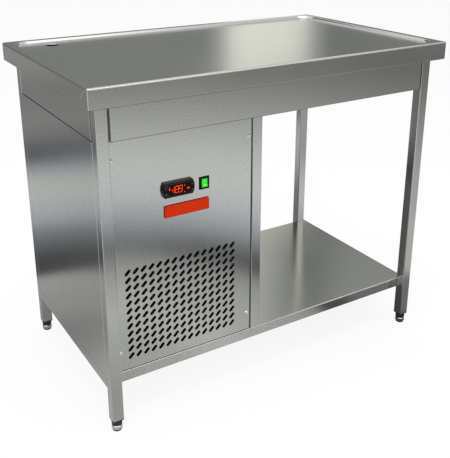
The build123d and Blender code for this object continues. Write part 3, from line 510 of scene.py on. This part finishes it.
def front_face(node):
    """A function that gives the y of a node's front at an x and a z."""
    data = nodes[node].data
    surface = BVHTree.FromPolygons([v.co for v in data.vertices], [p.vertices for p in data.polygons])
    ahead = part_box(node)[0].y - 1.0

    def front(x, z):
        return surface.ray_cast(Vector((x, ahead, z)), Vector((0.0, 1.0, 0.0)))[0].y

    return front


SKIN = 0.00012


def flat_shapes(name, outlines, carrier, material, body="table"):
    """Thin raised shapes on the front of a node, from outlines of x and z."""
    front = front_face(carrier)
    build = bmesh.new()
    for outline in outlines:
        lower = [build.verts.new((x, front(x, z), z)) for x, z in outline]
        upper = [build.verts.new((v.co.x, v.co.y - SKIN, v.co.z)) for v in lower]
        build.faces.new(upper)
        build.faces.new(lower[::-1])
        for index in range(len(outline)):
            after = (index + 1) % len(outline)
            build.faces.new((lower[index], lower[after], upper[after], upper[index]))
    bmesh.ops.recalc_face_normals(build, faces=build.faces)
    piece = finished(build, name, material)
    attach(piece, body)


def node_middle(node):
    """The middle of a node's front, as x and z."""
    low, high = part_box(node)
    return (low.x + high.x) / 2, (low.z + high.z) / 2


def bar(x, z, width, height, slant=0.0):
    """The corners of a bar about a point, which may lean to the right."""
    half_width, half_height = width / 2, height / 2
    lean = slant * half_height
    return [
        (x - half_width - lean, z - half_height),
        (x + half_width - lean, z - half_height),
        (x + half_width + lean, z + half_height),
        (x - half_width + lean, z + half_height),
    ]


def round_mark(radius, count):
    """Corners of a regular outline about a middle, the first one at the top."""
    turn = 2 * math.pi / count
    return [(radius * math.sin(k * turn), radius * math.cos(k * turn)) for k in range(count)]


# Display: slanted seven-segment digits on the window, each with the place of its left edge, and lamps
# by place and size
SEGMENTS = {"8": "abcdefg", "1": "bc", "9": "abcdfg"}
DIGIT_HEIGHT = 0.0160
DIGIT_WIDTH = 0.0080
STROKE = 0.0013
SLANT = 0.10
JOINT_GAP = 0.0003
READING = (("1", -0.0230), ("8", -0.0119), ("9", -0.0022))
LAMPS = (
    (-0.0256, 0.0034, 0.0020, 0.0072),
    (-0.0186, 0.0, 0.0040, 0.0018),
    (0.0128, 0.0066, 0.0018, 0.0026),
    (0.0228, -0.0022, 0.0062, 0.0032),
    (0.0128, -0.0098, 0.0030, 0.0013),
)


def segment_outline(mark):
    """The hexagon of one segment in the digit's own plane, from its lower left corner."""
    half = DIGIT_HEIGHT / 2
    level = {"a": DIGIT_HEIGHT, "g": half, "d": 0.0}
    side = {"f": (0.0, half), "b": (DIGIT_WIDTH, half), "e": (0.0, 0.0), "c": (DIGIT_WIDTH, 0.0)}
    point = STROKE / 2
    if mark in level:
        across = level[mark]
        start, end = JOINT_GAP, DIGIT_WIDTH - JOINT_GAP
    else:
        across, bottom = side[mark]
        start, end = bottom + JOINT_GAP, bottom + half - JOINT_GAP
    outline = [
        (start, across),
        (start + point, across + point),
        (end - point, across + point),
        (end, across),
        (end - point, across - point),
        (start + point, across - point),
    ]
    return outline if mark in level else [(x, z) for z, x in outline]


window_x, window_z = node_middle("display_window")
strokes = []
for digit, left in READING:
    for mark in SEGMENTS[digit]:
        strokes.append(
            [
                (window_x + left + x + SLANT * z, window_z - DIGIT_HEIGHT / 2 + z)
                for x, z in segment_outline(mark)
            ]
        )
flat_shapes("display_digits", strokes, "display_window", red)
lamps = [bar(window_x + x, window_z + z, width, height, SLANT) for x, z, width, height in LAMPS]
flat_shapes("display_lamps", lamps, "display_window", red)

# Generic marks on the keys, and on the rocker a bar for on and a ring of dots for off. The ring and a dot
# are each a radius and a count of corners
KEY_MARK = 0.0013
ROCKER_BAR = (0.0008, 0.0042)
ROCKER_RING = (0.0017, 12)
ROCKER_DOT = (0.0005, 6)
MARK_SHARE = 0.26
KEY_MARKS = {
    "key_up": round_mark(KEY_MARK, 3),
    "key_down": [(x, -z) for x, z in round_mark(KEY_MARK, 3)],
    "key_set": round_mark(KEY_MARK, 4),
    "key_standby": round_mark(KEY_MARK, 16),
}
for key, outline in KEY_MARKS.items():
    middle_x, middle_z = node_middle(key)
    shape = [(middle_x + x, middle_z + z) for x, z in outline]
    flat_shapes(f"{key}_mark", [shape], key, mark_paint, body=f"{key}_cap")

rocker_low, rocker_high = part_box("switch_rocker")
middle_x, middle_z = node_middle("switch_rocker")
mark_step = MARK_SHARE * (rocker_high.z - rocker_low.z)
on_bar = bar(middle_x, middle_z + mark_step, *ROCKER_BAR)
off_ring = [
    [(middle_x + at_x + x, middle_z - mark_step + at_z + z) for x, z in round_mark(*ROCKER_DOT)]
    for at_x, at_z in round_mark(*ROCKER_RING)
]
flat_shapes("rocker_marks", [on_bar] + off_ring, "switch_rocker", pale_mark, body="rocker")

# Drain seat: a thin neck inside the drain hole, flared at its edge. Its profile is radius and height
DRAIN_FLANGE = 0.025
TOP_SHEET = 0.0012
SEAT_SIDES = 64
SEAT_PROFILE = (
    (0.0183, -0.0002),
    (0.0177, -0.0005),
    (0.01745, -0.0012),
    (0.0173, -0.0021),
    (0.0177, -0.0021),
    (0.01795, -0.0010),
)
cup_low, cup_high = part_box("drain_cup")
seat_centre = ((cup_low.x + cup_high.x) / 2, cup_high.y - DRAIN_FLANGE, cup_high.z + TOP_SHEET)
build = revolved(SEAT_PROFILE, SEAT_SIDES, seat_centre, closed=True)
for face in build.faces:
    face.smooth = True
bmesh.ops.recalc_face_normals(build, faces=build.faces)
seat = finished(build, "drain_seat", chrome)
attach(seat, "table")

# Stage: floor, world and soft lights. Seen directly, the floor glows by a share, and the rest of it is matt
FLOOR_SIZE = 30.0
FLOOR_COLOUR = grey(0.85)
FLOOR_GLOW = 1.07
FLOOR_SHARE = 0.82
ROOM_LEVEL = 0.55
WHITE = opaque(grey(1.0))


def stage_plane(name, size, place, material):
    """A level square sheet that isn't part of the object."""
    half = size / 2
    corners = [(-half, -half, 0), (half, -half, 0), (half, half, 0), (-half, half, 0)]
    mesh = bpy.data.meshes.new(name)
    mesh.from_pydata(corners, [], [(0, 1, 2, 3)])
    mesh.materials.append(material)
    sheet = bpy.data.objects.new(name, mesh)
    scene.collection.objects.link(sheet)
    sheet.location = place
    return sheet


def seen_directly(graph):
    """One for rays from the camera, in reflections and through glass, and zero for the rest."""
    path = graph.add("ShaderNodeLightPath").outputs
    mirrored = graph.combine("MAXIMUM", path["Is Camera Ray"], path["Is Glossy Ray"])
    return graph.combine("MAXIMUM", mirrored, path["Is Transmission Ray"])


floor_material = bpy.data.materials.new("floor")
graph = Graph(floor_material, empty=True)
matt = graph.add("ShaderNodeBsdfDiffuse", {"Color": opaque(FLOOR_COLOUR)})
bright = graph.add("ShaderNodeEmission", {"Strength": FLOOR_GLOW})
share = graph.combine("MULTIPLY", seen_directly(graph), FLOOR_SHARE)
graph.surface("ShaderNodeOutputMaterial", share, matt.outputs["BSDF"], bright.outputs["Emission"])
stage_plane("floor", FLOOR_SIZE, (0, 0, 0), floor_material)

scene.world = bpy.data.worlds.new("studio")
graph = Graph(scene.world, empty=True)
room = graph.add("ShaderNodeBackground", {"Color": WHITE, "Strength": ROOM_LEVEL})
white = graph.add("ShaderNodeBackground", {"Color": WHITE, "Strength": 1.0})
graph.surface(
    "ShaderNodeOutputWorld", seen_directly(graph), room.outputs["Background"], white.outputs["Background"]
)

# Large soft lamps: width, length, power, place and target
LIGHTS = {
    "overhead": (2.4, 2.4, 40.0, (0.0, -0.4, 3.2), (0.0, 0.0, 0.6)),
    "front_left": (1.6, 2.0, 30.0, (-2.6, -2.4, 2.2), (0.0, 0.0, 0.5)),
}
for name, (width, length, power, place, target) in LIGHTS.items():
    lamp = bpy.data.lights.new(name, "AREA")
    lamp.shape = "RECTANGLE"
    lamp.size = width
    lamp.size_y = length
    lamp.energy = power
    holder = bpy.data.objects.new(name, lamp)
    scene.collection.objects.link(holder)
    holder.location = place
    holder.rotation_euler = (Vector(target) - Vector(place)).to_track_quat("-Z", "Y").to_euler()
    holder.visible_glossy = False


# Studio cards, which only reflections see: levels of grey by angle and by distance
def turned(stops):
    """Stops whose places are degrees from the rear towards the right."""
    return [(math.radians(place), level) for place, level in stops]


STUDIO_RADIUS = 6.0
STUDIO_SIDES = 96
CARD_HOLE = 0.02
BAND_HEIGHT = 2.6
WALL_HEIGHT = 4.6
GROUND_LIFT = 0.0005
GROUND_TINT = (0.988, 1.0, 0.98)
COOL_TINT = (0.95, 0.995, 1.1)
WALL_TINTS = ((0.962, 1.0, 0.958), (1.01, 1.0, 0.905))
TINT_LEVELS = (0.35, 0.8)
SECTOR_START = [(0.8, 0.0), (1.3, 1.0)]
FRONT_MIDDLE = (-0.5, -0.4, 0.0)
FRONT_COOL = [(0.86, 0.0), (1.0, 1.0), (1.25, 1.0), (1.5, 0.0)]
FRONT_RINGS = [
    (0.0, 0.42),
    (0.25, 0.55),
    (0.43, 0.67),
    (0.58, 0.58),
    (0.7, 0.5),
    (0.77, 0.42),
    (0.83, 0.07),
    (0.92, 0.07),
    (1.0, 0.3),
    (1.08, 0.46),
    (1.2, 0.67),
    (1.35, 0.79),
    (1.5, 0.86),
    (1.7, 0.83),
    (2.0, 0.79),
    (2.2, 0.67),
    (2.6, 0.52),
    (3.0, 0.43),
    (3.4, 0.31),
    (3.8, 0.22),
    (4.5, 0.11),
    (5.5, 0.04),
]
REAR_MIDDLE = (-0.5, 0.0, 0.0)
REAR_COOL = [
    (0.68, 0.0),
    (0.82, 1.0),
    (1.02, 1.0),
    (1.3, 0.0),
    (1.52, 0.0),
    (1.68, 1.0),
    (1.86, 1.0),
    (2.2, 0.0),
]
REAR_RINGS = [
    (0.05, 0.21),
    (0.19, 0.26),
    (0.39, 0.38),
    (0.55, 0.43),
    (0.62, 0.08),
    (0.71, 0.08),
    (0.8, 0.14),
    (0.93, 0.25),
    (1.06, 0.47),
    (1.16, 0.55),
    (1.35, 0.62),
    (1.52, 0.6),
    (1.67, 0.43),
    (1.83, 0.15),
    (1.97, 0.13),
    (2.2, 0.24),
    (2.5, 0.3),
    (2.8, 0.27),
    (3.3, 0.25),
    (4.2, 0.34),
]
REAR_SHARE = turned([(-180.0, 0.0), (-120.0, 0.0), (-60.0, 1.0), (60.0, 1.0), (110.0, 0.7), (150.0, 0.0)])
GROUND_SECTORS = turned(
    [
        (-180.0, 0.0),
        (-135.0, 0.0),
        (-120.0, 0.8),
        (-100.0, 0.8),
        (-85.0, 0.0),
        (45.0, 0.0),
        (60.0, 0.9),
        (80.0, 0.9),
        (95.0, 0.0),
    ]
)
WALL_SECTORS = turned(
    [
        (-180.0, 0.36),
        (-150.0, 0.3),
        (-120.0, 0.9),
        (-100.0, 0.34),
        (-20.0, 0.2),
        (20.0, 0.24),
        (30.0, 0.22),
        (33.0, 0.95),
        (38.5, 0.92),
        (42.0, 0.2),
        (60.0, 0.24),
        (130.0, 0.32),
        (150.0, 0.9),
        (180.0, 0.36),
    ]
)
UPPER_SECTORS = turned(
    [
        (-180.0, 0.36),
        (-150.0, 0.3),
        (-120.0, 0.9),
        (-100.0, 0.34),
        (-70.0, 0.26),
        (-55.0, 0.07),
        (-35.0, 0.07),
        (-15.0, 0.26),
        (24.0, 0.32),
        (33.5, 0.66),
        (36.5, 0.46),
        (40.5, 0.14),
        (46.0, 0.36),
        (126.0, 0.32),
        (135.0, 1.3),
        (150.0, 1.1),
        (175.0, 0.36),
    ]
)
SKY_SECTORS = turned([(-180.0, 1.9), (-110.0, 1.9), (-70.0, 1.0), (70.0, 1.0), (134.0, 0.8), (152.0, 1.9)])
GROUND_PROFILE = [(CARD_HOLE, GROUND_LIFT), (STUDIO_RADIUS, GROUND_LIFT)]
WALL_PROFILE = [(STUDIO_RADIUS, 0.0), (STUDIO_RADIUS, BAND_HEIGHT)]
UPPER_PROFILE = [(STUDIO_RADIUS, BAND_HEIGHT), (STUDIO_RADIUS, WALL_HEIGHT)]
SKY_PROFILE = [(STUDIO_RADIUS, WALL_HEIGHT), (5.2, 6.4), (3.4, 7.8), (CARD_HOLE, 8.6)]


def only_reflected(sheet):
    """Hides a card from all but reflections."""
    sheet.visible_camera = False
    sheet.visible_diffuse = False
    sheet.visible_shadow = False
    sheet.visible_transmission = False


def studio_card(name, profile, sectors, rings=None, cool=None, tints=None):
    """A card round the table that shines by angle and, where that is brighter, by rings on the ground.

    Rings and cool are each two lists of stops, for the front and the rear, and cool is how far the card
    leans to blue. Tints are the colours of the dim and the bright parts of a card.
    """
    material = bpy.data.materials.new(name)
    graph = Graph(material, empty=True)
    position = graph.position()
    parts = graph.parts(position)
    around = graph.combine("ARCTAN2", parts["X"], parts["Y"])

    def by_distance(stops, middle):
        away = graph.add("ShaderNodeVectorMath", {0: position, 1: middle}, operation="DISTANCE")
        return graph.levels(stops, away.outputs["Value"], 0.0, STUDIO_RADIUS)

    def by_angle(stops):
        return graph.levels(stops, around, -math.pi, math.pi)

    def by_ring(front_stops, rear_stops):
        front = by_distance(front_stops, FRONT_MIDDLE)
        rear = by_distance(rear_stops, REAR_MIDDLE)
        return graph.mixed(by_angle(REAR_SHARE), front, rear)

    level = by_angle(sectors)
    if rings:
        outer = graph.combine("MULTIPLY", level, by_distance(SECTOR_START, (0.0, 0.0, 0.0)))
        level = graph.combine("MAXIMUM", by_ring(*rings), outer)
    glow = graph.add("ShaderNodeEmission", {"Strength": level})
    if cool:
        tint = graph.mixed(by_ring(*cool), opaque(GROUND_TINT), opaque(COOL_TINT))
        graph.link(tint, glow.inputs["Color"])
    if tints:
        graph.link(graph.colour_between(level, *tints, *TINT_LEVELS), glow.inputs["Color"])
    graph.add("ShaderNodeOutputMaterial", {"Surface": glow.outputs["Emission"]})
    card = finished(revolved(profile, STUDIO_SIDES), name, material)
    only_reflected(card)


studio_card(
    "ground_card",
    GROUND_PROFILE,
    GROUND_SECTORS,
    rings=(FRONT_RINGS, REAR_RINGS),
    cool=(FRONT_COOL, REAR_COOL),
)
studio_card("wall_card", WALL_PROFILE, WALL_SECTORS, tints=WALL_TINTS)
studio_card("upper_card", UPPER_PROFILE, UPPER_SECTORS, tints=WALL_TINTS)
studio_card("sky_card", SKY_PROFILE, SKY_SECTORS)

# Round patches of painted shadow on the ground near the legs and the shelf, seen only in reflections:
# middle, radius and level of grey
PAINTED_SHADOW_PATCHES = {
    "rear_leg_patch": (0.92, -0.22, 0.26, 0.75),
    "leg_patch": (0.84, -0.58, 0.28, 0.62),
    "corner_patch": (0.58, -0.37, 0.2, 0.22),
    "shelf_patch": (0.40, -0.16, 0.22, 0.07),
    "far_patch": (0.55, 0.74, 0.4, 0.05),
}
PATCH_FULL = 0.65
PATCH_END = 0.95


def painted_shadow_material(name, radius, level):
    """Painted shadow for reflections: emission at one level of grey that fades to nothing at the rim of a
    round patch.
    """
    material = bpy.data.materials.new(name)
    graph = Graph(material, empty=True)
    clear = graph.add("ShaderNodeBsdfTransparent")
    dim = graph.add("ShaderNodeEmission", {"Strength": level})
    length = graph.add("ShaderNodeVectorMath", {0: graph.position()}, operation="LENGTH")
    stops = [(PATCH_FULL * radius, 1.0), (PATCH_END * radius, 0.0)]
    mask = graph.levels(stops, length.outputs["Value"], 0.0, radius)
    graph.surface("ShaderNodeOutputMaterial", mask, clear.outputs["BSDF"], dim.outputs["Emission"])
    return material


for layer, (name, (patch_x, patch_y, radius, level)) in enumerate(PAINTED_SHADOW_PATCHES.items(), start=2):
    place = (patch_x, patch_y, layer * GROUND_LIFT)
    only_reflected(stage_plane(name, 2 * radius, place, painted_shadow_material(name, radius, level)))
